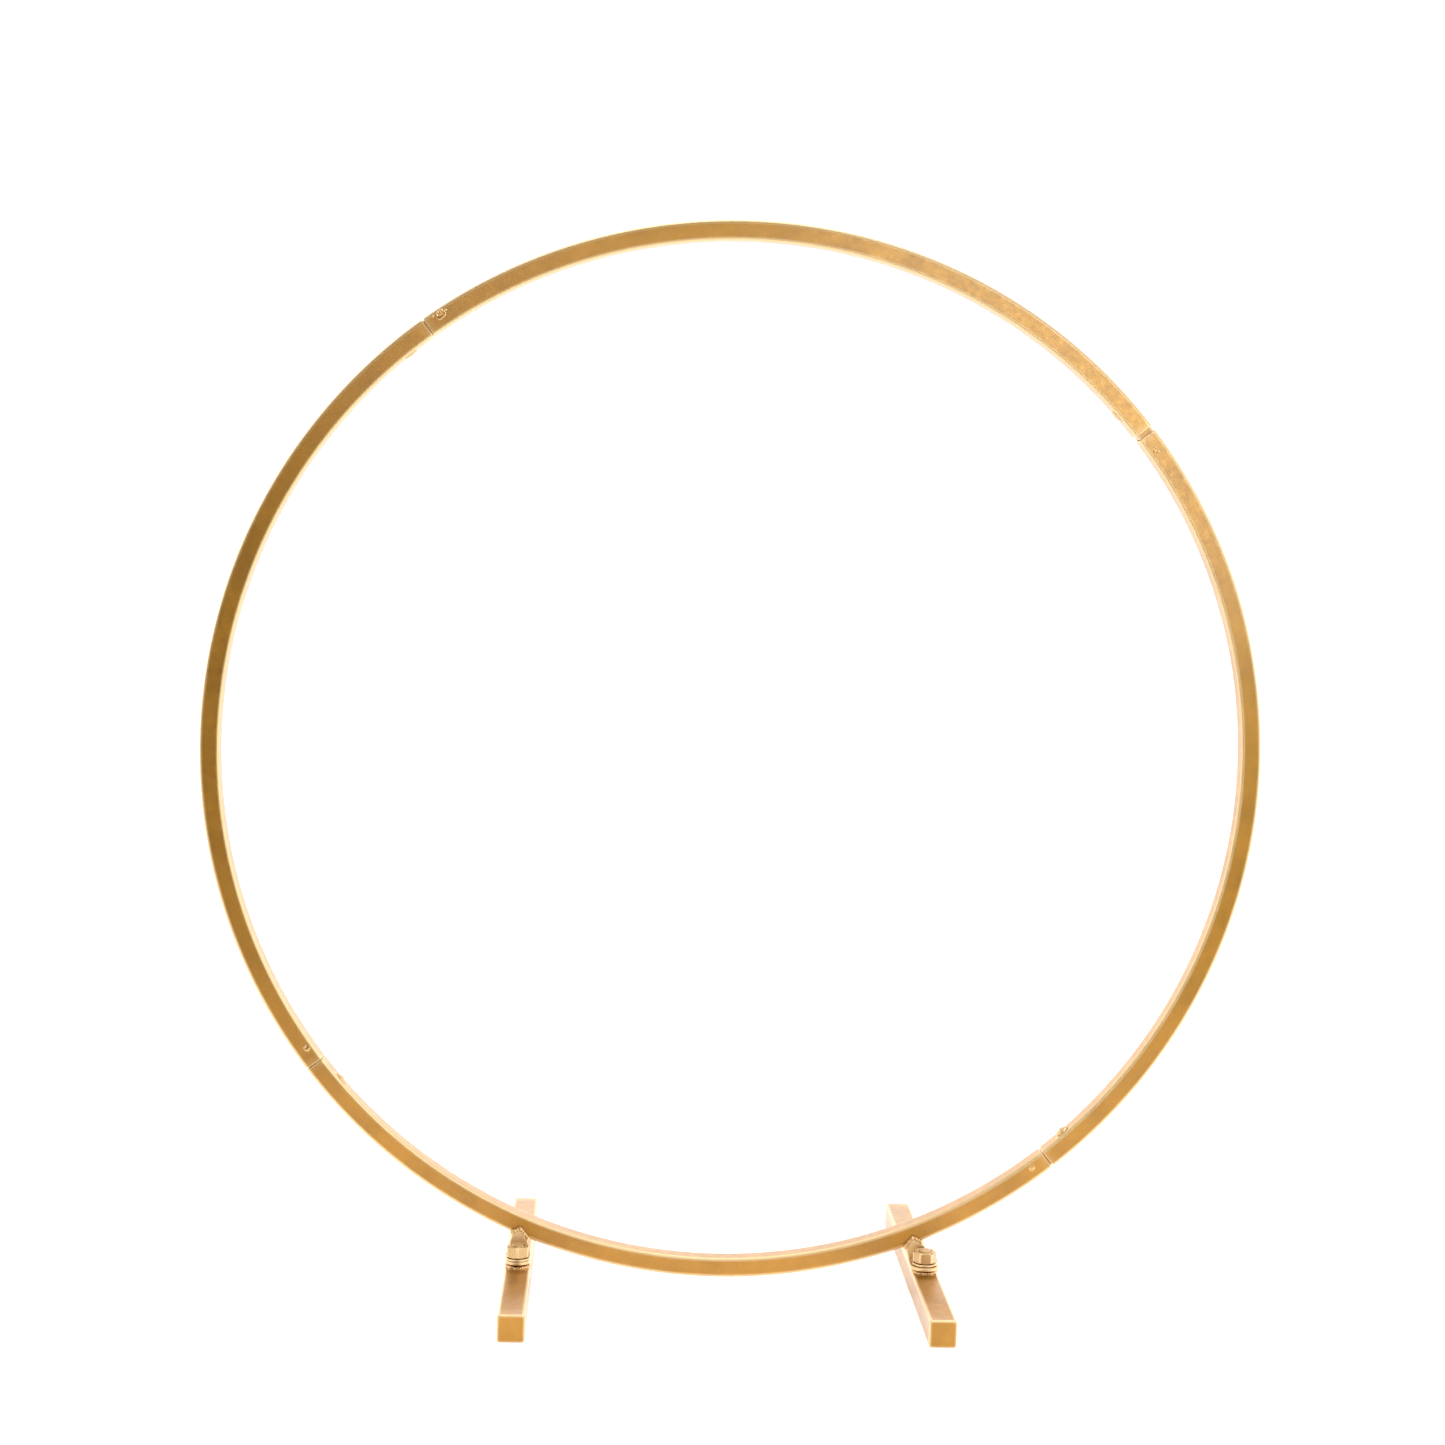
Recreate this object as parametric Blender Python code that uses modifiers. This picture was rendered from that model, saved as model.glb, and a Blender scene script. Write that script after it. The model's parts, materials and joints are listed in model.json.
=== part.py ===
"""Free-standing round frame for wreaths: a knock-down hoop on two swivelling feet.

Four arcs of square tube sleeve together into an upright hoop. Under it, a bracket on each side
is clamped by a nut to a bolt that stands up through a square-tube foot. With its nut slackened,
a foot turns about its bolt and folds flat along the hoop.

Units are metres, +Z is up and -Y is the front. The origin is under the middle of the feet, on
the surface that they stand on.
"""

import math

import bmesh
import bpy
from mathutils import Vector

MM = 0.001

# Hoop
HOOP_RADIUS = 400 * MM           # outside of the hoop
HOOP_LIFT = 9 * MM               # lowest point of the hoop above the table, or more
RING_TUBE = 15 * MM              # outside of the square tube
RING_WALL = 1.0 * MM
RING_CORNER = 2.2 * MM
JOINTS = {                       # angle anticlockwise from +X, and the gap left between the arcs
    "upper_right": (39.9, 3.5 * MM),
    "upper_left": (126.8, 0.8 * MM),
    "lower_left": (217.5, 0.5 * MM),
    "lower_right": (309.3, 1.0 * MM),
}
ARCS = {                         # joint at the start and at the end of each arc, anticlockwise
    "arc_top": ("upper_right", "upper_left"),
    "arc_left": ("upper_left", "lower_left"),
    "arc_bottom": ("lower_left", "lower_right"),
    "arc_right": ("lower_right", "upper_right"),
}

# Spigots, with the plug weld and the screw that hold each one
SPIGOT_REACH = 35 * MM           # into each of the two arcs
SPIGOT_WALL = 1.0 * MM
PLUG_FROM_END = 13 * MM          # plug weld to the end of the arc that it fixes
PLUG_OUTWARD = {                 # from the tube's centre line
    "upper_right": -1 * MM,
    "upper_left": 2.5 * MM,
    "lower_left": -2.5 * MM,
    "lower_right": -2 * MM,
}
PLUG_HOLE_RADIUS = 2.5 * MM
PLUG_DOME = 0.6 * MM
SCREW_FROM_END = 22 * MM         # screw to the end of the arc that it locks
SCREW_RADIUS = 2.5 * MM
SCREW_LENGTH = 8 * MM
SCREW_HEAD_RADIUS = 5.5 * MM
SCREW_HEAD_HEIGHT = {
    "upper_right": 1 * MM,
    "upper_left": 1 * MM,
    "lower_left": 1 * MM,
    "lower_right": 2.2 * MM,
}

# Feet
FOOT_TUBE = 20 * MM              # outside of the square tube
FOOT_WALL = 1.2 * MM
FOOT_CORNER = 2.0 * MM
FOOT_FRONT = 115 * MM            # bolt to the front end
FOOT_REAR = 185 * MM             # bolt to the rear end
FOOT_SPREAD = 155 * MM           # bolt to the middle of the frame
CAP_HEAD = 1.5 * MM
CAP_BOSS = 9 * MM
CAP_WALL = 1.2 * MM

# Bolt, nut and washer: M10
BOLT_RADIUS = 5 * MM
BOLT_HEAD_HEIGHT = 6.4 * MM
BOLT_PROUD = 0.6 * MM            # bolt end above the nut
HEX_ACROSS_FLATS = 16 * MM
NUT_HEIGHT = 8.4 * MM
NUT_TURN = {"left": 0, "right": 30}
WASHER_RADIUS = 9.3 * MM
WASHER_THICKNESS = 1.6 * MM
BOLT_WELD_SPREAD = 0.2 * MM      # weld ring beyond the foot's sides
BOLT_WELD_HEIGHT = 2.5 * MM
CHAMFER_SLOPE = math.tan(math.radians(30))
CHAMFER_LAND = 0.97              # flat left inside a nut's chamfer, against its width
SKIN = 0.01 * MM                 # chamfer blank above and below the nut

# Brackets
BRACKET_THICKNESS = 2.5 * MM
BRACKET_WIDTH = 18.5 * MM
BEND_INSIDE = 1.0 * MM
TONGUE_WIDTH = 10.5 * MM
TONGUE_LAP = 4.5 * MM            # tip of the tongue above the hoop's lower edge
TONGUE_SHOULDER = 2 * MM         # least height of its shoulders above the bend
TONGUE_SHIFT = {"left": 1 * MM, "right": 8 * MM}   # tongue's middle, towards the hoop's middle
BRACKET_BEAD = 1.3 * MM          # radius of the weld bead on the hoop

# Clearances
FIT = 0.3 * MM                   # between pieces that touch
NUT_SWING = 0.8 * MM             # washer and nut to the tongue behind them

# Facets
FACET_SAG = 0.15 * MM            # most that a flat facet of the hoop stands off its true curve
ROUND_STEPS = 24
BEND_STEPS = 4
CORNER_STEPS = 2
INNER_CORNER = 1.25              # least corner radius of a tube inside another, in its own walls
MERGE = 0.00001

# Worked out from the dimensions above
MID_RADIUS = HOOP_RADIUS - RING_TUBE / 2
SPIGOT_TUBE = RING_TUBE - 2 * (RING_WALL + FIT)
HEX_RADIUS = HEX_ACROSS_FLATS / math.sqrt(3)
BOLT_HEAD_FLATS = min(HEX_ACROSS_FLATS, FOOT_TUBE - 2 * (FOOT_WALL + FIT))
BOLT_WELD_RADIUS = FOOT_TUBE / 2 + BOLT_WELD_SPREAD
BOLT_WELD_Z = FOOT_TUBE + FIT
PLATE_Z = BOLT_WELD_Z + BOLT_WELD_HEIGHT + FIT
WASHER_Z = PLATE_Z + BRACKET_THICKNESS + FIT
NUT_Z = WASHER_Z + WASHER_THICKNESS + FIT
BOLT_TOP_Z = NUT_Z + NUT_HEIGHT + BOLT_PROUD
HOLE_RADIUS = BOLT_RADIUS + FIT
FACE_BEHIND_BOLT = max(WASHER_RADIUS, HEX_RADIUS) + NUT_SWING + BRACKET_THICKNESS + FIT
BOLT_Y = (FOOT_FRONT - FOOT_REAR) / 2
HOOP_Y = BOLT_Y + FACE_BEHIND_BOLT + RING_TUBE / 2
BEND_RADIUS = BEND_INSIDE + BRACKET_THICKNESS / 2
TONGUE_BASE_Z = PLATE_Z + BRACKET_THICKNESS / 2 + BEND_RADIUS
SHOULDER_X = FOOT_SPREAD - max(TONGUE_SHIFT.values()) - TONGUE_WIDTH / 2
HOOP_CENTRE_Z = max(HOOP_LIFT + HOOP_RADIUS,
                    TONGUE_BASE_Z + TONGUE_SHOULDER
                    + math.sqrt(HOOP_RADIUS ** 2 - SHOULDER_X ** 2))

GOLD = (0.60, 0.33, 0.085)
WELD_GOLD = (0.52, 0.27, 0.07)


# Scene and materials

def clear_scene():
    for item in list(bpy.data.objects):
        bpy.data.objects.remove(item, do_unlink=True)


def collection(name):
    made = bpy.data.collections.new(name)
    bpy.context.scene.collection.children.link(made)
    return made


def paint(name, colour=GOLD, roughness=0.38, metallic=0.85):
    material = bpy.data.materials.new(name)
    material.use_nodes = True
    shader = material.node_tree.nodes["Principled BSDF"]
    shader.inputs["Base Color"].default_value = (*colour, 1)
    shader.inputs["Roughness"].default_value = roughness
    shader.inputs["Metallic"].default_value = metallic
    return material


def add_object(name, data, parent, location=(0, 0, 0), rotation=(0, 0, 0)):
    """A sub-part of the frame, with a material of its own."""
    piece = bpy.data.objects.new(name, data)
    parts.objects.link(piece)
    piece.parent = parent
    piece.location = location
    piece.rotation_euler = rotation
    colour = WELD_GOLD if "weld" in name else GOLD
    data.materials.append(paint(name + "_paint", colour))
    return piece


def add_tool(name, data, parent, location=(0, 0, 0), rotation=(0, 0, 0)):
    """A cutter, or a lump that is joined to a sub-part."""
    tool = bpy.data.objects.new(name, data)
    tools.objects.link(tool)
    tool.parent = parent
    tool.location = location
    tool.rotation_euler = rotation
    tool.hide_render = True
    tool.display_type = "WIRE"
    return tool


def add_empty(name, location, rotation=(0, 0, 0)):
    empty = bpy.data.objects.new(name, None)
    parts.objects.link(empty)
    empty.location = location
    empty.rotation_euler = rotation
    return empty


# Shapes

def rounded_square(side, corner):
    """Outline of a square bar, clockwise, as (across, up) points about its middle."""
    inset = side / 2 - corner
    points = []
    for quarter in range(4):
        across = inset if quarter in (0, 3) else -inset
        up = inset if quarter in (0, 1) else -inset
        for step in range(CORNER_STEPS + 1):
            angle = math.radians(90 * (quarter + step / CORNER_STEPS))
            points.append((across + corner * math.cos(angle), up + corner * math.sin(angle)))
    points.reverse()
    return points


def outline_mesh(name, points, closed):
    """Edges only, from (x, z) points; the Screw modifier turns them about Z."""
    last = len(points) if closed else len(points) - 1
    edges = [(index, (index + 1) % len(points)) for index in range(last)]
    mesh = bpy.data.meshes.new(name)
    mesh.from_pydata([(x, 0, z) for x, z in points], edges, [])
    return mesh


def from_bmesh(name, shape):
    mesh = bpy.data.meshes.new(name)
    shape.to_mesh(mesh)
    shape.free()
    return mesh


def cylinder_mesh(name, radius, low, high, sides=ROUND_STEPS):
    shape = bmesh.new()
    bmesh.ops.create_cone(shape, cap_ends=True, segments=sides, radius1=radius, radius2=radius,
                          depth=high - low)
    bmesh.ops.translate(shape, verts=shape.verts, vec=(0, 0, (low + high) / 2))
    return from_bmesh(name, shape)


def turn(piece, angle=2 * math.pi, steps=ROUND_STEPS):
    """Sweep an outline about the object's Z axis."""
    sweep = piece.modifiers.new("sweep", "SCREW")
    sweep.angle = angle
    sweep.steps = steps
    sweep.render_steps = steps
    sweep.use_smooth_shade = True
    sweep.use_merge_vertices = angle == 2 * math.pi
    sweep.merge_threshold = MERGE


def thicken(piece, wall, offset=-1):
    shell = piece.modifiers.new("wall", "SOLIDIFY")
    shell.thickness = wall
    shell.offset = offset
    shell.use_even_offset = True


def combine(piece, tool, operation):
    boolean = piece.modifiers.new(operation.lower(), "BOOLEAN")
    boolean.operation = operation
    boolean.solver = "EXACT"
    boolean.object = tool


# Hoop

def joint_angle(joint):
    return math.radians(JOINTS[joint][0])


def end_angle(joint, side):
    """Angle of the arc end beside a joint: side -1 comes before the joint, and +1 after it."""
    return joint_angle(joint) + side * JOINTS[joint][1] / 2 / MID_RADIUS


def on_hoop(angle, radius, depth=0.0):
    return (radius * math.cos(angle), radius * math.sin(angle), depth)


def curved_tube(name, side, wall, corner, start, end):
    """Square tube bent round the hoop's centre, open at both ends."""
    facet = 2 * math.acos(1 - FACET_SAG / HOOP_RADIUS)
    outline = [(MID_RADIUS + across, up) for across, up in rounded_square(side, corner)]
    tube = add_object(name, outline_mesh(name, outline, closed=True), hoop, rotation=(0, 0, start))
    turn(tube, end - start, math.ceil((end - start) / facet))
    thicken(tube, wall)
    return tube


def screw_angle(joint):
    return end_angle(joint, 1) + SCREW_FROM_END / MID_RADIUS


def drill_for_screw(tube, joint):
    """Hole for the joint screw through the wall nearest to the hoop's centre."""
    angle = screw_angle(joint)
    mesh = cylinder_mesh("screw_hole", SCREW_RADIUS + FIT, -RING_TUBE / 2, RING_TUBE / 4)
    place = on_hoop(angle, MID_RADIUS - RING_TUBE / 2)
    hole = add_tool(f"{tube.name}_screw_hole", mesh, hoop, place, (0, math.pi / 2, angle))
    combine(tube, hole, "DIFFERENCE")


def plug_place(joint, depth):
    angle = end_angle(joint, -1) - PLUG_FROM_END / MID_RADIUS
    return on_hoop(angle, MID_RADIUS + PLUG_OUTWARD[joint], depth)


def make_arcs():
    for name, (first, last) in ARCS.items():
        start = end_angle(first, 1)
        end = end_angle(last, -1) % (2 * math.pi)
        if end < start:
            end += 2 * math.pi
        arc = curved_tube(name, RING_TUBE, RING_WALL, RING_CORNER, start, end)
        drill_for_screw(arc, first)
        mesh = cylinder_mesh("plug_hole", PLUG_HOLE_RADIUS, -RING_TUBE / 4, RING_TUBE / 4)
        hole = add_tool(f"{name}_plug_hole", mesh, hoop, plug_place(last, RING_TUBE / 2))
        combine(arc, hole, "DIFFERENCE")


def make_spigot(joint):
    start = end_angle(joint, -1) - SPIGOT_REACH / MID_RADIUS
    end = end_angle(joint, 1) + SPIGOT_REACH / MID_RADIUS
    corner = max(RING_CORNER - RING_WALL, SPIGOT_WALL * INNER_CORNER)
    spigot = curved_tube(f"spigot_{joint}", SPIGOT_TUBE, SPIGOT_WALL, corner, start, end)
    drill_for_screw(spigot, joint)


def make_plug_weld(joint):
    """Weld metal that fills the hole in the arc's front wall, down to the spigot."""
    radius = PLUG_HOLE_RADIUS - FIT
    profile = [(0, PLUG_DOME), (radius * 0.6, PLUG_DOME * 0.8), (radius, 0),
               (radius, -RING_WALL), (0, -RING_WALL)]
    name = f"plug_weld_{joint}"
    plug = add_object(name, outline_mesh(name, profile, closed=False), hoop,
                      plug_place(joint, RING_TUBE / 2))
    turn(plug)


def make_joint_screw(joint):
    """Low round head on the hoop's inner face, with the shank pointing outwards."""
    chamfer = SCREW_RADIUS * 0.25
    head = SCREW_HEAD_HEIGHT[joint]
    profile = [(0, SCREW_LENGTH), (SCREW_RADIUS - chamfer, SCREW_LENGTH),
               (SCREW_RADIUS, SCREW_LENGTH - chamfer), (SCREW_RADIUS, 0), (SCREW_HEAD_RADIUS, 0),
               (SCREW_HEAD_RADIUS, -head * 0.3),
               (SCREW_HEAD_RADIUS * 0.8, -head * 0.75),
               (SCREW_HEAD_RADIUS * 0.45, -head * 0.95), (0, -head)]
    name = f"joint_screw_{joint}"
    angle = screw_angle(joint)
    place = on_hoop(angle, MID_RADIUS - RING_TUBE / 2 - FIT)
    screw = add_object(name, outline_mesh(name, profile, closed=False), hoop, place,
                       (0, math.pi / 2, angle))
    turn(screw)


# Feet, each built about the axis of its bolt

def straight_tube(name, side, wall, corner, low, high, add, parent):
    """Square tube along Y from low to high, open at both ends and standing on its parent's floor."""
    shape = bmesh.new()
    points = rounded_square(side, corner)
    ring = [shape.verts.new((across, low, FOOT_TUBE / 2 + up)) for across, up in points]
    edges = [shape.edges.new((ring[index - 1], ring[index])) for index in range(len(ring))]
    grown = bmesh.ops.extrude_edge_only(shape, edges=edges)["geom"]
    moved = [item for item in grown if isinstance(item, bmesh.types.BMVert)]
    bmesh.ops.translate(shape, verts=moved, vec=(0, high - low, 0))
    bmesh.ops.recalc_face_normals(shape, faces=shape.faces)
    tube = add(name, from_bmesh(name, shape), parent)
    thicken(tube, wall)
    return tube


def make_foot_tube(side, swivel):
    low = -FOOT_FRONT + CAP_HEAD + FIT
    high = FOOT_REAR - CAP_HEAD - FIT
    tube = straight_tube(f"foot_tube_{side}", FOOT_TUBE, FOOT_WALL, FOOT_CORNER, low, high,
                         add_object, swivel)
    mesh = cylinder_mesh("bolt_hole", HOLE_RADIUS, FOOT_TUBE / 2, FOOT_TUBE * 1.25)
    combine(tube, add_tool(f"foot_hole_{side}", mesh, swivel), "DIFFERENCE")


def make_foot_cap(side, end, swivel):
    """Square cap with a hollow boss that plugs into the tube."""
    facing = -1 if end == "front" else 1
    outer = facing * (FOOT_FRONT if end == "front" else FOOT_REAR)
    seat = outer - facing * CAP_HEAD
    tip = seat - facing * CAP_BOSS
    shape = bmesh.new()
    points = rounded_square(FOOT_TUBE, FOOT_CORNER)
    shape.faces.new([shape.verts.new((x, outer, FOOT_TUBE / 2 + z)) for x, z in points])
    name = f"foot_cap_{side}_{end}"
    cap = add_object(name, from_bmesh(name, shape), swivel)
    thicken(cap, CAP_HEAD, offset=-facing)
    boss_side = FOOT_TUBE - 2 * (FOOT_WALL + FIT)
    boss_corner = max(FOOT_CORNER - FOOT_WALL, CAP_WALL * INNER_CORNER)
    low, high = sorted((seat + facing * CAP_HEAD / 2, tip))
    boss = straight_tube(f"{name}_boss", boss_side, CAP_WALL, boss_corner, low, high, add_tool,
                         swivel)
    combine(cap, boss, "UNION")


def make_foot_bolt(side, swivel):
    """Hexagon bolt with its head under the foot's top wall and its shank standing up."""
    head_top = FOOT_TUBE - FOOT_WALL - FIT
    chamfer = BOLT_RADIUS * 0.16
    profile = [(0, BOLT_TOP_Z), (BOLT_RADIUS - chamfer, BOLT_TOP_Z),
               (BOLT_RADIUS, BOLT_TOP_Z - chamfer), (BOLT_RADIUS, head_top - BOLT_HEAD_HEIGHT / 2),
               (0, head_top - BOLT_HEAD_HEIGHT / 2)]
    name = f"foot_bolt_{side}"
    bolt = add_object(name, outline_mesh(name, profile, closed=False), swivel)
    turn(bolt)
    mesh = cylinder_mesh("bolt_head", BOLT_HEAD_FLATS / math.sqrt(3),
                         head_top - BOLT_HEAD_HEIGHT, head_top, sides=6)
    combine(bolt, add_tool(f"bolt_head_{side}", mesh, swivel), "UNION")


def turned_ring(name, inner, outline, parent):
    """Ring round the bolt: outline runs down its outer side, then back along the hole."""
    top = outline[0][1]
    bottom = outline[-1][1]
    profile = outline + [(inner, bottom), (inner, top)]
    ring = add_object(name, outline_mesh(name, profile, closed=True), parent)
    turn(ring)
    return ring


def make_bolt_weld(side, swivel):
    """Ring of weld metal round the bolt, on top of the foot."""
    height = BOLT_WELD_HEIGHT
    width = BOLT_WELD_RADIUS - HOLE_RADIUS
    crown = [(BOLT_WELD_RADIUS - width * part, BOLT_WELD_Z + height * rise)
             for part, rise in ((0.55, 1.0), (0.22, 0.9), (0.03, 0.55), (0.0, 0.25), (0.1, 0.0))]
    turned_ring(f"bolt_weld_{side}", HOLE_RADIUS, crown, swivel)


def make_washer(side, parent):
    edge = WASHER_THICKNESS * 0.15
    top = WASHER_Z + WASHER_THICKNESS
    outline = [(WASHER_RADIUS - edge, top), (WASHER_RADIUS, top - edge),
               (WASHER_RADIUS, WASHER_Z + edge), (WASHER_RADIUS - edge, WASHER_Z)]
    turned_ring(f"washer_{side}", HOLE_RADIUS, outline, parent)


def make_nut(side, parent):
    """Hexagon prism, chamfered at both ends, with a plain bore."""
    name = f"nut_{side}"
    top = NUT_Z + NUT_HEIGHT
    turned = math.radians(NUT_TURN[side])
    nut = add_object(name, cylinder_mesh(name, HEX_RADIUS, NUT_Z, top, sides=6), parent,
                     rotation=(0, 0, turned))
    land = HEX_ACROSS_FLATS / 2 * CHAMFER_LAND
    reach = HEX_RADIUS * 1.02
    drop = (reach - land) * CHAMFER_SLOPE
    high = top + SKIN
    low = NUT_Z - SKIN
    blank = [(0, high), (land, high), (reach, high - drop), (reach, low + drop), (land, low),
             (0, low)]
    chamfers = add_tool(f"{name}_blank", outline_mesh("nut_blank", blank, closed=False), parent)
    turn(chamfers)
    combine(nut, chamfers, "INTERSECT")
    mesh = cylinder_mesh("nut_bore", HOLE_RADIUS, NUT_Z - FIT, top + FIT)
    combine(nut, add_tool(f"{name}_bore", mesh, parent), "DIFFERENCE")


# Brackets, each built about the axis of its bolt

def hoop_edge_z(side, across):
    """Height of the hoop's lower edge at a distance across from the bolt."""
    from_middle = SIDES[side] * FOOT_SPREAD + across
    return HOOP_CENTRE_Z - math.sqrt(HOOP_RADIUS ** 2 - from_middle ** 2)


def tongue_outline(side):
    """Shoulder, tip and shoulder of the tongue, from -X to +X, as (x, z) points."""
    middle = -SIDES[side] * TONGUE_SHIFT[side]
    shoulders = (middle - TONGUE_WIDTH / 2, middle + TONGUE_WIDTH / 2)
    left, right = ((x, hoop_edge_z(side, x) + FIT) for x in shoulders)
    return left, (middle, hoop_edge_z(side, middle) + TONGUE_LAP), right


def tongue_y():
    """Middle of the tongue's sheet, behind the bolt's axis."""
    return FACE_BEHIND_BOLT - FIT - BRACKET_THICKNESS / 2


def make_bracket(side):
    """Sheet bent into an L: a round-ended plate under the nut, and a tongue up to the hoop."""
    half = BRACKET_WIDTH / 2
    plate = PLATE_Z + BRACKET_THICKNESS / 2
    back = tongue_y() - BEND_RADIUS
    shape = bmesh.new()
    front = [math.pi * (1 + step / 16) for step in range(17)]
    rim = [shape.verts.new((half * math.cos(a), half * math.sin(a), plate)) for a in front]
    rows = []
    for step in range(BEND_STEPS + 1):
        angle = math.pi / 2 * step / BEND_STEPS
        y = back + BEND_RADIUS * math.sin(angle)
        z = plate + BEND_RADIUS * (1 - math.cos(angle))
        rows.append([shape.verts.new((x, y, z)) for x in (-half, half)])
    shape.faces.new(rim + [rows[0][1], rows[0][0]])
    for (left, right), (left_next, right_next) in zip(rows, rows[1:]):
        shape.faces.new((left, right, right_next, left_next))
    tip = [shape.verts.new((x, tongue_y(), z)) for x, z in reversed(tongue_outline(side))]
    shape.faces.new([rows[-1][0], rows[-1][1]] + tip)
    place = (SIDES[side] * FOOT_SPREAD, BOLT_Y, 0)
    name = f"bracket_{side}"
    bracket = add_object(name, from_bmesh(name, shape), None, place)
    thicken(bracket, BRACKET_THICKNESS, offset=0)
    mesh = cylinder_mesh("plate_hole", HOLE_RADIUS, PLATE_Z - FIT, WASHER_Z)
    combine(bracket, add_tool(f"{name}_hole", mesh, None, place), "DIFFERENCE")


def make_bracket_weld(side):
    """Bead along the two upper edges of the tongue, on the hoop's front face."""
    corners = [Vector(point) for point in tongue_outline(side)]
    away = BRACKET_BEAD + FIT
    slopes = [(corners[i + 1] - corners[i]).normalized() for i in (0, 1)]
    normals = [Vector((-slope.y, slope.x)) for slope in slopes]
    bisector = (normals[0] + normals[1]) / (1 + normals[0].dot(normals[1]))
    path = [corners[0] + normals[0] * away, corners[1] + bisector * away,
            corners[2] + normals[1] * away]
    name = f"bracket_weld_{side}"
    curve = bpy.data.curves.new(name, "CURVE")
    curve.dimensions = "3D"
    curve.bevel_depth = BRACKET_BEAD
    curve.bevel_resolution = 2
    curve.use_fill_caps = True
    spline = curve.splines.new("POLY")
    spline.points.add(len(path) - 1)
    for point, (x, z) in zip(spline.points, path):
        point.co = (x, FACE_BEHIND_BOLT - FIT - BRACKET_BEAD, z, 1)
    add_object(name, curve, None, (SIDES[side] * FOOT_SPREAD, BOLT_Y, 0))


def make_foot(side):
    swivel = add_empty(f"swivel_{side}", (SIDES[side] * FOOT_SPREAD, BOLT_Y, 0))
    make_foot_tube(side, swivel)
    for end in ("front", "rear"):
        make_foot_cap(side, end, swivel)
    make_foot_bolt(side, swivel)
    make_bolt_weld(side, swivel)
    make_washer(side, swivel)
    make_nut(side, swivel)


SIDES = {"left": -1, "right": 1}

clear_scene()
parts = collection("wreath_frame")
tools = collection("cutters")
hoop = add_empty("hoop_centre", (0, HOOP_Y, HOOP_CENTRE_Z), (math.pi / 2, 0, 0))
make_arcs()
for joint_name in JOINTS:
    make_spigot(joint_name)
    make_plug_weld(joint_name)
    make_joint_screw(joint_name)
for side_name in SIDES:
    make_bracket(side_name)
    make_bracket_weld(side_name)
    make_foot(side_name)
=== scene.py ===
"""Looks of the wreath frame: a gold-painted knock-down hoop on two swivelling feet.

Every CAD node is replaced by a finer piece in the same place. Outer sizes and places are read from
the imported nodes. Walls, thread and bolt sizes, edge radii and the leaning cut ends are given here.
"""

import json
import math
import random

import bmesh
import bpy
import numpy as np
from mathutils import Matrix, Vector, noise


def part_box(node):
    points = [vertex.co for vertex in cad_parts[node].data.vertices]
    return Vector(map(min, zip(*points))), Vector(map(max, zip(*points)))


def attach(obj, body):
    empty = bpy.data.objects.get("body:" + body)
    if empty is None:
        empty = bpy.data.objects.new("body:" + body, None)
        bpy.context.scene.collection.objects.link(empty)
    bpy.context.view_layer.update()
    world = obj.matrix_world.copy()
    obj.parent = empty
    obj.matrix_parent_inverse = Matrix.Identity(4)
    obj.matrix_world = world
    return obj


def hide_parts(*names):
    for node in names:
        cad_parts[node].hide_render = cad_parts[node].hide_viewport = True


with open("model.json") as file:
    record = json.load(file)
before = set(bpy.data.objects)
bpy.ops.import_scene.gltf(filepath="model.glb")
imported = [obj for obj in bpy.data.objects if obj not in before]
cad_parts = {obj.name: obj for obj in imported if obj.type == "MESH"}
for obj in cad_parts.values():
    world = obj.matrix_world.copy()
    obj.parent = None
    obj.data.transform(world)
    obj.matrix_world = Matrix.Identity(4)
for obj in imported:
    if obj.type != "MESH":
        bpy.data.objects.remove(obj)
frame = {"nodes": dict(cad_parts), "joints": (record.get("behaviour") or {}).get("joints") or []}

MM = 0.001
TAU = 2 * math.pi

# Tubes
RING_WALL = 1.0 * MM
RING_CORNER = 2.2 * MM
SPIGOT_WALL = 1.0 * MM
SPIGOT_CORNER = 1.25 * MM
FOOT_WALL = 1.2 * MM
FOOT_CORNER = 2.0 * MM
CUT_EDGE = 0.35 * MM             # round-over on a sawn tube end
END_RAIL = 0.6 * MM              # row beside a sawn end that keeps its wear narrow
WEDGE = {                        # how far each joint's cut ends are off square, at the outer face
    "upper_right": 0.5 * MM,
    "upper_left": 0.7 * MM,
    "lower_left": 0.2 * MM,
    "lower_right": 0.6 * MM,
}
WEDGE_REACH = 1.5 * MM           # length of tube that leans with its cut end

# Caps and brackets
CAP_EDGE = 0.85 * MM
CAP_HEAD = 1.5 * MM
CAP_WALL = 1.2 * MM
CAP_FIT = 0.3 * MM
BRACKET_SHEET = 2.5 * MM
BRACKET_BEND = 2.25 * MM         # middle of the sheet
BRACKET_EDGE = 0.45 * MM
HOLE_RADIUS = 5.3 * MM           # round a bolt

# Fasteners
HEX_FLATS = 16 * MM
HEX_LAND = 0.97                  # flat left inside a chamfer, against the width across flats
HEX_POWER = 44                   # the higher, the sharper a hexagon's corners
SINK_RADIUS = 5.6 * MM           # countersink at a nut's faces
BOLT_RADIUS = 5 * MM
BOLT_HEAD = 6.4 * MM             # height
BOLT_PITCH = 1.5 * MM
BOLT_THREAD = 0.7 * MM           # depth
SCREW_RADIUS = 2.5 * MM
SCREW_HOLE = 2.8 * MM            # radius
SCREW_PITCH = 0.8 * MM
SCREW_THREAD = 0.4 * MM
THREAD_PLAY = 0.12 * MM
THREAD_FLAT = 0.12               # share of the pitch that is flat at a crest, and at a root
CHAMFER_SLOPE = math.tan(math.radians(30))

# Welds
WELD_WAVE = 900                  # scales of the noise that roughens the surface
WELD_RIPPLE = 2200

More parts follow.
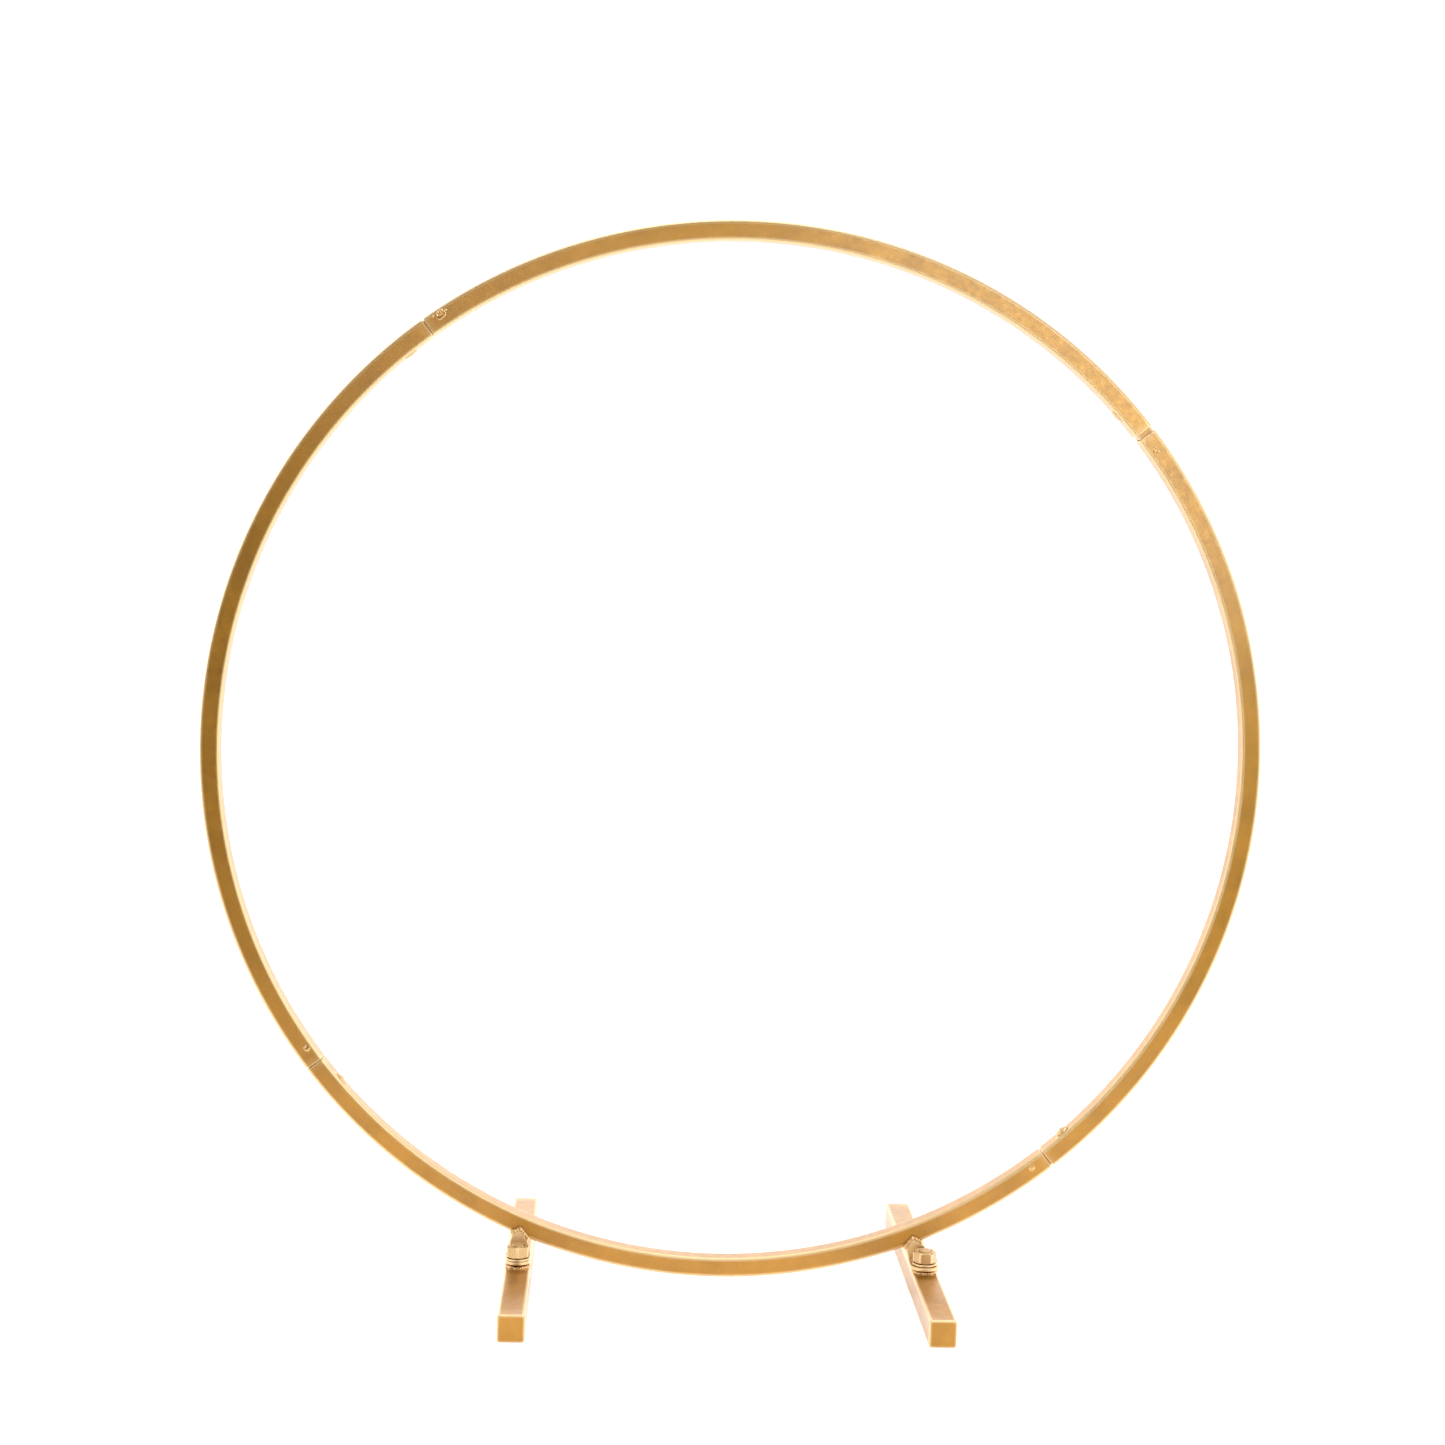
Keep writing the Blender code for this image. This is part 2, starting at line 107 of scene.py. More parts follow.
# Paint
GOLD = (0.428, 0.191, 0.016)
SPIGOT_GOLD = (0.39, 0.170, 0.020)
WELD_GOLD = (0.50, 0.245, 0.045)
FASTENER_GOLD = (0.36, 0.161, 0.014)
PALE_WEAR_AND_HIGHLIGHT = (0.86, 0.64, 0.34)        # pale: where flakes show, and along convex edges as wear and as a painted highlight
METALLIC = 0.88
COAT = 0.6
COAT_ROUGHNESS = 0.24
SPECKLE_SHOWS = 0.22             # share of the darker colour at its strongest
FLAKE_SHOWS = 0.25               # share of the pale colour at its strongest
# share of the pale colour along convex edges at its strongest: part wear, part painted highlight
EDGE_WEAR_AND_HIGHLIGHT_SHOWS = 0.7
EDGE_WEAR_AND_HIGHLIGHT_POINT = (0.502, 0.522)      # pointiness where an edge's wear and painted highlight starts and is full
BUMP = 0.25
PEEL_HEIGHT = 0.09 * MM
GRAIN_HEIGHT = 0.03 * MM

# Scales of the paint's noise
CLOUD_SCALE = 34
GLOSS_SCALE = 190
PEEL_SCALE = 420
SPECKLE_SCALE = 620
GRAIN_SCALE = 1500
FLAKE_SCALE = 2600

# Studio: (height of the direction, strength) from below to above
WORLD_BANDS = ((-1, 1.6), (0.45, 1.9), (0.68, 0.9), (0.84, 0.6), (0.93, 1.4), (1, 1.4))
WORLD_DARK = (-0.22, -0.97, 0.05)   # direction of the unlit side
WORLD_DIMS = (0.08, 0.85)        # how far towards it the light starts to fall, and is gone
WORLD_TOP = 1.6                  # extra strength overhead
WORLD_TOP_EDGE = (0.85, 0.95)    # heights of the direction where that starts and is full
WORLD_LEAST = 0.2
WORLD_SEEN = 1.1                 # plain background in the picture
FLOOR_WHITE = (0.93, 0.93, 0.93)
FLOOR_GLOW = 0.4
FLOOR_HALF = 9
FLOOR_FRONT = -1.0
FLOOR_BACK = 12
SOFTBOXES = {                    # place, point that it faces, width, power and colour
    "key": ((0.50, -1.20, 0.80), (0.25, 0, 0.65), 0.8, 5.2, (1.0, 1.2, 1.6)),
    "fill": ((-0.27, -1.20, 0.86), (-0.15, 0, 0.7), 0.5, 1.3, (1, 1, 1)),
}

# Camera
SENSOR_WIDTH = 36
PICTURE_WIDTH = 1445
CAMERA_FOCAL = 2500                   # in pixels of the picture
CAMERA_PLACE = (-0.0927, -1.8903, 0.6052)
CAMERA_TURN = (2.534, 5.164, 1.555)   # right, down and roll, in degrees

SIDES = {"left": -1, "right": 1}
CORNERS = ("upper_right", "upper_left", "lower_left", "lower_right")
ARCS = ("arc_top", "arc_left", "arc_bottom", "arc_right")

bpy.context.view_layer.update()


# What the CAD says

def node_points(node):
    return np.array([v.co for v in frame["nodes"][node].data.vertices])


arc_boxes = [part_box(name) for name in ARCS]
RING_LOW = Vector([min(low[i] for low, high in arc_boxes) for i in range(3)])
RING_HIGH = Vector([max(high[i] for low, high in arc_boxes) for i in range(3)])
CENTRE = (RING_LOW + RING_HIGH) / 2
HOOP_RADIUS = (RING_HIGH.x - RING_LOW.x) / 2
RING_TUBE = RING_HIGH.y - RING_LOW.y
MID_RADIUS = HOOP_RADIUS - RING_TUBE / 2
joints = {joint["name"]: joint for joint in frame["joints"]}
BOLT = {side: Vector(joints[f"foot_{side}_swivel"]["pos_m"]) for side in SIDES}


def hoop_span(node):
    """Angles at which a curved piece starts and ends, anticlockwise from +X."""
    co = node_points(node) - np.array(CENTRE)
    middle = math.atan2(co[:, 2].mean(), co[:, 0].mean())
    turned = (np.arctan2(co[:, 2], co[:, 0]) - middle + math.pi) % TAU - math.pi
    return middle + turned.min(), middle + turned.max()


def hoop_place(angle, radius, forward=0.0):
    return CENTRE + Vector((radius * math.cos(angle), -forward, radius * math.sin(angle)))


def hoop_frame(angle, origin):
    """Axes at a point of the hoop: x along it, y outwards and z to the front."""
    along = Vector((-math.sin(angle), 0, math.cos(angle)))
    out = Vector((math.cos(angle), 0, math.sin(angle)))
    axes = Matrix((-along, out, Vector((0, -1, 0)))).transposed()
    return Matrix.Translation(origin) @ axes.to_4x4()


# Materials

def add(tree, kind, **values):
    node = tree.nodes.new(kind)
    for name, value in values.items():
        if name in node.inputs:
            node.inputs[name].default_value = value
        else:
            setattr(node, name, value)
    return node


def noise_node(tree, coords, scale, detail, roughness=0.5):
    node = add(tree, "ShaderNodeTexNoise", Scale=scale, Detail=detail, Roughness=roughness)
    tree.links.new(coords, node.inputs["Vector"])
    return node.outputs["Fac"]


def spread(tree, value, low, high, to_low=0.0, to_high=1.0):
    node = tree.nodes.new("ShaderNodeMapRange")
    for name, number in (("From Min", low), ("From Max", high), ("To Min", to_low),
                         ("To Max", to_high)):
        node.inputs[name].default_value = number
    tree.links.new(value, node.inputs["Value"])
    return node.outputs["Result"]


def blend(tree, factor, first, second):
    node = tree.nodes.new("ShaderNodeMix")
    node.data_type = "RGBA"
    tree.links.new(factor, node.inputs["Factor"])
    for name, value in (("A", first), ("B", second)):
        socket = next(s for s in node.inputs if s.name == name and s.type == "RGBA")
        if isinstance(value, tuple):
            socket.default_value = (*value, 1)
        else:
            tree.links.new(value, socket)
    return next(s for s in node.outputs if s.type == "RGBA")


def gold_paint(name, gold, roughness, peel=1.0, mottle=1.0):
    """Satin metallic gold: patchy spray, fine flake, orange peel, and paler along convex edges,
    partly as wear and partly as a painted highlight.

    peel scales the bumps, and mottle scales the patches of colour.
    """
    material = bpy.data.materials.new(name)
    material.use_nodes = True
    tree = material.node_tree
    shader = tree.nodes["Principled BSDF"]
    coords = tree.nodes.new("ShaderNodeTexCoord").outputs["Object"]
    deep = tuple(part * (1 - 0.16 * mottle) for part in gold)
    light = tuple(min(1, part * (1 + 0.12 * mottle)) for part in gold)
    clouds = spread(tree, noise_node(tree, coords, CLOUD_SCALE, 3), 0.35, 0.65)
    colour = blend(tree, clouds, deep, light)
    speckle = spread(tree, noise_node(tree, coords, SPECKLE_SCALE, 3, 0.7), 0.36, 0.66)
    shade = tuple(part * 0.8 for part in gold)
    speckle = spread(tree, speckle, 0, 1, SPECKLE_SHOWS * mottle, 0)
    colour = blend(tree, speckle, colour, shade)
    flake = spread(tree, noise_node(tree, coords, FLAKE_SCALE, 1), 0.62, 0.74, 0, FLAKE_SHOWS)
    colour = blend(tree, flake, colour, PALE_WEAR_AND_HIGHLIGHT)
    # Convex edges are lightened towards the pale colour: part wear, part painted highlight on
    # rounded edges.
    point = tree.nodes.new("ShaderNodeNewGeometry").outputs["Pointiness"]
    edge = spread(tree, point, *EDGE_WEAR_AND_HIGHLIGHT_POINT, 0, EDGE_WEAR_AND_HIGHLIGHT_SHOWS)
    colour = blend(tree, edge, colour, PALE_WEAR_AND_HIGHLIGHT)
    tree.links.new(colour, shader.inputs["Base Color"])
    shader.inputs["Metallic"].default_value = METALLIC
    rough = spread(tree, noise_node(tree, coords, GLOSS_SCALE, 4, 0.6), 0.3, 0.7,
                   roughness - 0.06, roughness + 0.08)
    tree.links.new(rough, shader.inputs["Roughness"])
    shader.inputs["Coat Weight"].default_value = COAT
    shader.inputs["Coat Roughness"].default_value = COAT_ROUGHNESS
    low = add(tree, "ShaderNodeBump", Strength=BUMP * peel, Distance=PEEL_HEIGHT)
    tree.links.new(noise_node(tree, coords, PEEL_SCALE, 2), low.inputs["Height"])
    fine = add(tree, "ShaderNodeBump", Strength=BUMP * peel, Distance=GRAIN_HEIGHT)
    tree.links.new(noise_node(tree, coords, GRAIN_SCALE, 3, 0.65), fine.inputs["Height"])
    tree.links.new(low.outputs["Normal"], fine.inputs["Normal"])
    tree.links.new(fine.outputs["Normal"], shader.inputs["Normal"])
    return material


SLOT_PAINT = {
    "gold_painted_tube": gold_paint("gold_tube_paint", GOLD, 0.42, 1.0, 0.7),
    "gold_painted_bracket": gold_paint("gold_bracket_paint", GOLD, 0.40, 1.2),
    "gold_painted_spigot": gold_paint("gold_spigot_paint", SPIGOT_GOLD, 0.42),
    "gold_painted_weld": gold_paint("gold_weld_paint", WELD_GOLD, 0.27, 1.6, 1.4),
    "gold_painted_fastener": gold_paint("gold_fastener_paint", FASTENER_GOLD, 0.31),
}


# Mesh helpers

def new_piece(node, mesh, body, slot):
    """Makes the finer piece that stands for a CAD node."""
    piece = bpy.data.objects.new(node + "_fine", mesh)
    bpy.context.scene.collection.objects.link(piece)
    mesh.materials.clear()
    mesh.materials.append(SLOT_PAINT[slot])
    mesh.shade_smooth()
    piece.modifiers.new("flat_faces", "WEIGHTED_NORMAL")
    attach(piece, body)
    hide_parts(node)


def grid_mesh(name, rows, ring=False):
    """Quads between closed rows of points; as a ring the last row joins the first, else capped."""
    count = len(rows[0])
    faces = []
    pairs = len(rows) if ring else len(rows) - 1
    for row in range(pairs):
        here, there = row * count, (row + 1) % len(rows) * count
        for i in range(count):
            j = (i + 1) % count
            faces.append((here + i, here + j, there + j, there + i))
    if not ring:
        faces.append(tuple(reversed(range(count))))
        faces.append(tuple(range((len(rows) - 1) * count, len(rows) * count)))
    mesh = bpy.data.meshes.new(name)
    mesh.from_pydata([tuple(point) for row in rows for point in row], [], faces)
    tidy_normals(mesh)
    return mesh


def tidy_normals(mesh):
    shape = bmesh.new()
    shape.from_mesh(mesh)
    bmesh.ops.recalc_face_normals(shape, faces=shape.faces)
    shape.to_mesh(mesh)
    shape.free()
    mesh.update()


def settled(mesh, *steps):
    """The mesh with modifiers applied; each step is a kind and its settings."""
    holder = bpy.data.objects.new("holder", mesh)
    bpy.context.scene.collection.objects.link(holder)
    for kind, settings in steps:
        modifier = holder.modifiers.new(kind.lower(), kind)
        for key, value in settings.items():
            setattr(modifier, key, value)
    bpy.context.view_layer.update()
    graph = bpy.context.evaluated_depsgraph_get()
    made = bpy.data.meshes.new_from_object(holder.evaluated_get(graph))
    made.name = mesh.name + "_made"
    bpy.data.objects.remove(holder)
    return made


def cut(mesh, cutter):
    tool = bpy.data.objects.new("cutter", cutter)
    bpy.context.scene.collection.objects.link(tool)
    made = settled(mesh, ("BOOLEAN", {"operation": "DIFFERENCE", "solver": "EXACT",
                                      "object": tool}))
    bpy.data.objects.remove(tool)
    if len(made.vertices) < len(mesh.vertices) / 2:
        raise ValueError(f"{mesh.name} was lost when it was cut")
    return made


def merged(*meshes):
    shape = bmesh.new()
    for mesh in meshes:
        shape.from_mesh(mesh)
    made = bpy.data.meshes.new("merged")
    shape.to_mesh(made)
    shape.free()
    return made


def rounded_outline(side, corner, steps=6, rail=0.7 * MM):
    """Rounded square as (across, up) points, with a rail beside each corner to keep flats flat."""
    inset = side / 2 - corner
    points = []
    for quarter in range(4):
        across = inset if quarter in (0, 3) else -inset
        up = inset if quarter in (0, 1) else -inset
        arc = []
        for step in range(steps + 1):
            angle = math.radians(90 * (quarter + step / steps))
            arc.append(Vector((across + corner * math.cos(angle),
                               up + corner * math.sin(angle))))
        before = Vector((math.sin(math.radians(90 * quarter)),
                         -math.cos(math.radians(90 * quarter))))
        after = Vector((-math.cos(math.radians(90 * quarter)),
                        -math.sin(math.radians(90 * quarter))))
        points += [arc[0] + before * rail, *arc, arc[-1] + after * rail]
    return points


def tube_mesh(name, place, start, end, side, corner, wall, rows, edge=CUT_EDGE):
    """Hollow square tube with eased ends: place(t, across, up) gives each point."""
    levels = np.linspace(start + edge, end - edge, rows)
    rail = min(END_RAIL, (levels[1] - levels[0]) / 3)
    levels = [levels[0], levels[0] + rail, *levels[1:-1], levels[-1] - rail, levels[-1]]
    sections = [(t, 0.0) for t in levels]
    ease = 4
    for step in range(1, ease + 1):
        turned = math.pi / 2 * step / ease
        sections.append((end - edge + edge * math.sin(turned), edge * (1 - math.cos(turned))))
    lip = wall * 0.3
    for step in range(ease + 1):
        turned = math.pi / 2 * step / ease
        sections.append((end - lip * (1 - math.cos(turned)), wall - lip + lip * math.sin(turned)))
    for t in np.linspace(end - lip, start + lip, rows)[1:-1]:
        sections.append((t, wall))
    for step in range(ease + 1):
        turned = math.pi / 2 * (1 - step / ease)
        sections.append((start + lip * (1 - math.cos(turned)),
                         wall - lip + lip * math.sin(turned)))
    for step in range(ease, 0, -1):
        turned = math.pi / 2 * step / ease
        sections.append((start + edge - edge * math.sin(turned),
                         edge * (1 - math.cos(turned))))
    grid = []
    for t, inset in sections:
        outline = rounded_outline(side - 2 * inset, max(corner - inset, 0.2 * MM))
        grid.append([place(t, p.x, p.y) for p in outline])
    return grid_mesh(name, grid, ring=True)


def lathe_mesh(name, profile, place, steps=72, hollow=False):
    """Profile of (radius, z) points turned about z; place() puts each point."""
    rows = []
    for radius, z in profile:
        rows.append([place(Vector((radius * math.cos(a), radius * math.sin(a), z)))
                     for a in (TAU * i / steps for i in range(steps))])
    return grid_mesh(name, rows, ring=hollow)


def eased(profile, radius, steps=4):
    """Profile with each inner corner rounded by about the radius."""
    made = [profile[0]]
    for before, corner, after in zip(profile, profile[1:], profile[2:]):
        before, corner, after = Vector(before), Vector(corner), Vector(after)
        reach = min(radius, (before - corner).length * 0.45, (after - corner).length * 0.45)
        first = corner + (before - corner).normalized() * reach
        last = corner + (after - corner).normalized() * reach
        for step in range(steps + 1):
            t = step / steps
            made.append(tuple(first * (1 - t) ** 2 + corner * 2 * t * (1 - t) + last * t * t))
    made.append(profile[-1])
    return made


def eased_loop(profile, radius, steps=4):
    wrapped = [profile[-1], *profile, profile[0]]
    return eased(wrapped, radius, steps)[1:-1]


def thread_radius(radius, depth, pitch, z, angle):
    phase = (z / pitch - angle / TAU) % 1
    groove = 1 - abs(2 * phase - 1)
    return radius - depth * min(1, max(0, (groove - THREAD_FLAT) / (1 - 2 * THREAD_FLAT)))


def thread_mesh(name, radius, depth, pitch, low, high, place, steps, taper):
    """Solid right-hand screw thread from low to high along z, tapered at the high end."""
    count = max(2, round((high - low) / pitch * 10))
    rows = []
    for row in range(count + 1):
        z = low + (high - low) * row / count
        limit = radius - max(0, z - (high - taper)) * 0.9
        ring = []
        for i in range(steps):
            angle = TAU * i / steps
            r = min(limit, thread_radius(radius, depth, pitch, z, angle))
            ring.append(place(Vector((r * math.cos(angle), r * math.sin(angle), z))))
        rows.append(ring)
    return grid_mesh(name, rows)


def weld_mesh(name, lumps, voxel, rough, seed):
    """Melted lumps: each is a matrix that carries a unit ball. rough is the noise's height."""
    shape = bmesh.new()
    for matrix in lumps:
        bmesh.ops.create_icosphere(shape, subdivisions=3, radius=1, matrix=matrix)
    mesh = bpy.data.meshes.new(name)
    shape.to_mesh(mesh)
    shape.free()
    made = settled(mesh, ("REMESH", {"mode": "VOXEL", "voxel_size": voxel,
                                     "use_smooth_shade": True}),
                   ("SMOOTH", {"factor": 0.5, "iterations": 2}))
    offset = Vector((seed, seed * 2, seed * 3))
    for vert in made.vertices:
        wave = noise.noise(vert.co * WELD_WAVE + offset)
        wave += 0.5 * noise.noise(vert.co * WELD_RIPPLE + offset)
        vert.co += vert.normal * wave * rough
    made.update()
    return made


def ball(centre, radii, turned=0.0, axes=Matrix.Identity(4)):
    return (axes @ Matrix.Translation(centre) @ Matrix.Rotation(turned, 4, "Z")
            @ Matrix.Diagonal((*radii, 1)))


# Hoop

def round_hoop(t, across, up):
    return hoop_place(t / MID_RADIUS, MID_RADIUS + across, up)


def sawn_arc(start, end, first, last):
    """Place for an arc whose ends are cut slightly off square, so that the joints gape outside."""
    def place(t, across, up):
        lean = max(0.0, across) / (RING_TUBE / 2)
        if end - t < WEDGE_REACH:
            t -= WEDGE[last] * lean
        elif t - start < WEDGE_REACH:
            t += WEDGE[first] * lean
        return round_hoop(t, across, up)
    return place


def radial_place(angle, radius):
    """Places a piece turned about an axis that points outwards from the hoop's centre."""
    out = Vector((math.cos(angle), 0, math.sin(angle)))
    along = Vector((-math.sin(angle), 0, math.cos(angle)))
    origin = hoop_place(angle, radius)
    side = out.cross(along)
    return lambda p: origin + along * p.x + side * p.y + out * p.z


def node_angle(node):
    middle = (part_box(node)[0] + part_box(node)[1]) / 2 - CENTRE
    return math.atan2(middle.z, middle.x)


def screw_hole(corner):
    angle = node_angle(f"joint_screw_{corner}")
    inner = MID_RADIUS - RING_TUBE / 2
    return lathe_mesh("screw_hole", [(SCREW_HOLE, -2 * MM), (SCREW_HOLE, RING_TUBE / 4)],
                      radial_place(angle, inner), 40)


for arc, first, last in zip(ARCS, CORNERS, CORNERS[1:] + CORNERS[:1]):
    start, end = (angle * MID_RADIUS for angle in hoop_span(arc))
    mesh = tube_mesh(arc + "_fine", sawn_arc(start, end, first, last), start, end, RING_TUBE,
                     RING_CORNER, RING_WALL, 100)
    new_piece(arc, cut(mesh, screw_hole(first)), "hoop", "gold_painted_tube")

for corner in CORNERS:
    node = f"spigot_{corner}"
    low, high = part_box(node)
    side = high.y - low.y
    start, end = (angle * MID_RADIUS for angle in hoop_span(node))
    mesh = tube_mesh(node + "_fine", round_hoop, start, end, side, SPIGOT_CORNER, SPIGOT_WALL, 24)
    new_piece(node, cut(mesh, screw_hole(corner)), "hoop", "gold_painted_spigot")


def plug_lumps(corner, chance):
    """Weld over the plug hole: rough and heaped at the upper left, nearly ground flat elsewhere.

    Each lump is its centre and radii in millimetres, and its turn.
    """
    if corner == "upper_left":
        lumps = [((0, 0.1, -0.1), (4.4, 3.6, 0.75), 0.2), ((0, 0, -0.7), (2.2, 2.2, 1.0), 0)]
        for step in range(8):
            angle = math.radians(150 - step * 34)
            lumps.append(((3.0 * math.cos(angle) + 0.3, 2.4 * math.sin(angle), 0.5),
                          (1.4 + 0.35 * chance.random(), 0.95, 1.0 + 0.4 * chance.random()),
                          angle + math.pi / 2))
        lumps += [((-5.6, 1.9, 0.15), (1.1, 0.9, 0.8), 0.4),
                  ((4.6, 0.9, 0.1), (1.3, 1.0, 0.7), 0)]
    else:
        lumps = [((0, 0, -0.15), (3.0, 2.7, 0.42), 0), ((0, 0, -0.7), (2.2, 2.2, 1.0), 0)]
        for step in range(5):
            angle = chance.random() * TAU
            reach = 1.0 + chance.random() * 1.3
            size = 0.55 + 0.4 * chance.random()
            lumps.append(((reach * math.cos(angle), reach * math.sin(angle), 0.12),
                          (size * 1.3, size, 0.42), angle))
    return lumps


chance = random.Random(11)
for index, corner in enumerate(CORNERS):
    node = f"plug_weld_{corner}"
    low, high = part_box(node)
    angle = node_angle(node)
    spot = (low + high) / 2
    spot.y = CENTRE.y - RING_TUBE / 2
    axes = hoop_frame(angle, spot)
    lumps = [ball(Vector(centre) * MM, Vector(radii) * MM, turned, axes)
             for centre, radii, turned in plug_lumps(corner, chance)]
    mesh = weld_mesh(node + "_fine", lumps, 0.16 * MM, 0.07 * MM, index)
    new_piece(node, mesh, "hoop", "gold_painted_weld")


def cross_cutters(place, top, depth, reach):
    """The two tapered blades of a cross that sinks from a screw head's top, which faces -z."""
    blades = []
    for turned in (0, math.pi / 2):
        rows = []
        for z, long, wide in ((top - 0.2 * MM, reach * 1.15, 0.62 * MM),
                              (top + depth, reach * 0.35, 0.40 * MM)):
            row = [Vector((x, y, z)) for x, y in ((-long, -wide), (long, -wide),
                                                  (long, wide), (-long, wide))]
            rows.append([place(Matrix.Rotation(turned, 3, "Z") @ p) for p in row])
        blades.append(grid_mesh("cross", rows))
    return blades


for corner in CORNERS:
    node = f"joint_screw_{corner}"
    angle = node_angle(node)
    co = node_points(node) - np.array(CENTRE)
    out = co[:, 0] * math.cos(angle) + co[:, 2] * math.sin(angle)
    head_radius = (co[:, 1].max() - co[:, 1].min()) / 2
    seat = MID_RADIUS - RING_TUBE / 2 - 0.05 * MM
    tall = seat - out.min()
    long = out.max() - seat
    place = radial_place(angle, seat)
    profile = [(0.01 * MM, -tall), (head_radius * 0.5, -tall * 0.94),
               (head_radius * 0.84, -tall * 0.66), (head_radius, -tall * 0.22),
               (head_radius, 0), (0.01 * MM, 0)]
    head = lathe_mesh("screw_head", eased(profile, tall * 0.4), place, 64)
    for blade in cross_cutters(place, -tall, min(1.35 * MM, tall * 0.7), 2.1 * MM):
        head = cut(head, blade)
    shank = thread_mesh("screw_shank", SCREW_RADIUS, SCREW_THREAD, SCREW_PITCH, -0.3 * MM, long,
                        place, 32, 0.6 * MM)
    new_piece(node, merged(head, shank), "hoop", "gold_painted_fastener")


# Brackets

def upright(side):
    centre = BOLT[side]
    return lambda p: Vector((centre.x + p.x, centre.y + p.y, p.z))


def tongue_outline(side):
    """Left shoulder, tip and right shoulder of the tongue, as (x, z)."""
    co = node_points(f"bracket_{side}")
    back = co[co[:, 1] > co[:, 1].max() - 0.05 * MM]
    tip = back[back[:, 2].argmax()]
    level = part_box(f"bracket_{side}")[0].z + BRACKET_SHEET + BRACKET_BEND + 0.8 * MM
    rest = back[(back[:, 2] > level) & (back[:, 2] < tip[2] - 0.5 * MM)]
    left, right = rest[rest[:, 0].argmin()], rest[rest[:, 0].argmax()]
    return [(float(p[0]), float(p[2])) for p in (left, tip, right)]


def bracket_mesh(side):
    """Round-ended plate, bend and pointed tongue, folded as one sheet."""
    low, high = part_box(f"bracket_{side}")
    centre = BOLT[side]
    half = (high.x - low.x) / 2
    plate = low.z + BRACKET_SHEET / 2
    tongue_y = high.y - BRACKET_SHEET / 2
    back = tongue_y - BRACKET_BEND
    shape = bmesh.new()
    rim = [shape.verts.new((centre.x + half * math.cos(a), centre.y + half * math.sin(a), plate))
           for a in (math.pi * (1 + step / 40) for step in range(41))]
    rows = []
    for step in range(11):
        angle = math.pi / 2 * step / 10
        y = back + BRACKET_BEND * math.sin(angle)
        z = plate + BRACKET_BEND * (1 - math.cos(angle))
        rows.append([shape.verts.new((centre.x + x, y, z)) for x in (-half, half)])
    shape.faces.new(rim + [rows[0][1], rows[0][0]])
    for (left, right), (left_next, right_next) in zip(rows, rows[1:]):
        shape.faces.new((left, right, right_next, left_next))
    tips = [shape.verts.new((x, tongue_y, z)) for x, z in reversed(tongue_outline(side))]
    shape.faces.new([rows[-1][0], rows[-1][1]] + tips)
    bmesh.ops.recalc_face_normals(shape, faces=shape.faces)
    mesh = bpy.data.meshes.new(f"bracket_{side}_fine")
    shape.to_mesh(mesh)
    shape.free()
    mesh = settled(mesh, ("SOLIDIFY", {"thickness": BRACKET_SHEET, "offset": 0,
                                       "use_even_offset": True}))
    hole = lathe_mesh("hole", [(HOLE_RADIUS, low.z - 1 * MM),
                               (HOLE_RADIUS, low.z + 2 * BRACKET_SHEET)], upright(side), 64)
    mesh = cut(mesh, hole)
    return settled(mesh, ("BEVEL", {"width": BRACKET_EDGE, "segments": 3, "limit_method": "ANGLE",
                                    "angle_limit": math.radians(50)}))


def bead_lumps(path, y, size, chance):
    """Ripples of weld along a path of (x, z) points."""
    lumps = []
    for first, last in zip(path, path[1:]):
        first, last = Vector(first), Vector(last)
        length = (last - first).length
        count = max(2, round(length / (0.85 * MM)))
        heading = math.atan2((last - first).y, (last - first).x)
        for step in range(count + 1):
            at = first.lerp(last, step / count)
            grow = 1 + 0.18 * math.sin(step * 2.4) + 0.16 * (chance.random() - 0.5)
            lump = (Matrix.Translation((at.x, y, at.y)) @ Matrix.Rotation(-heading, 4, "Y")
                    @ Matrix.Diagonal((size * 0.9, size * 0.95 * grow, size * grow, 1)))
            lumps.append(lump)
    return lumps


for side in SIDES:
    node = f"bracket_{side}"
    new_piece(node, bracket_mesh(side), "hoop", "gold_painted_bracket")
    left, tip, right = (Vector(p) for p in tongue_outline(side))
    face = CENTRE.y - RING_TUBE / 2
    lift = Vector((0, 0.9 * MM))
    path = [left + Vector((-0.6 * MM, 0.2 * MM)), tip + lift,
            right + Vector((0.6 * MM, 0.2 * MM))]
    lumps = bead_lumps(path, face - 1.2 * MM, 1.8 * MM, chance)
    lumps.append(ball((tip.x, face - 0.9 * MM, tip.y - 0.8 * MM), (2.6 * MM, 1.5 * MM, 1.9 * MM)))
    weld_node = f"bracket_weld_{side}"
    mesh = weld_mesh(weld_node + "_fine", lumps, 0.2 * MM, 0.10 * MM, 7 + SIDES[side])
    new_piece(weld_node, mesh, "hoop", "gold_painted_weld")


# Feet

def along_foot(side, bottom, size):
    centre = BOLT[side].x
    return lambda t, across, up: Vector((centre + across, t, bottom + size / 2 + up))


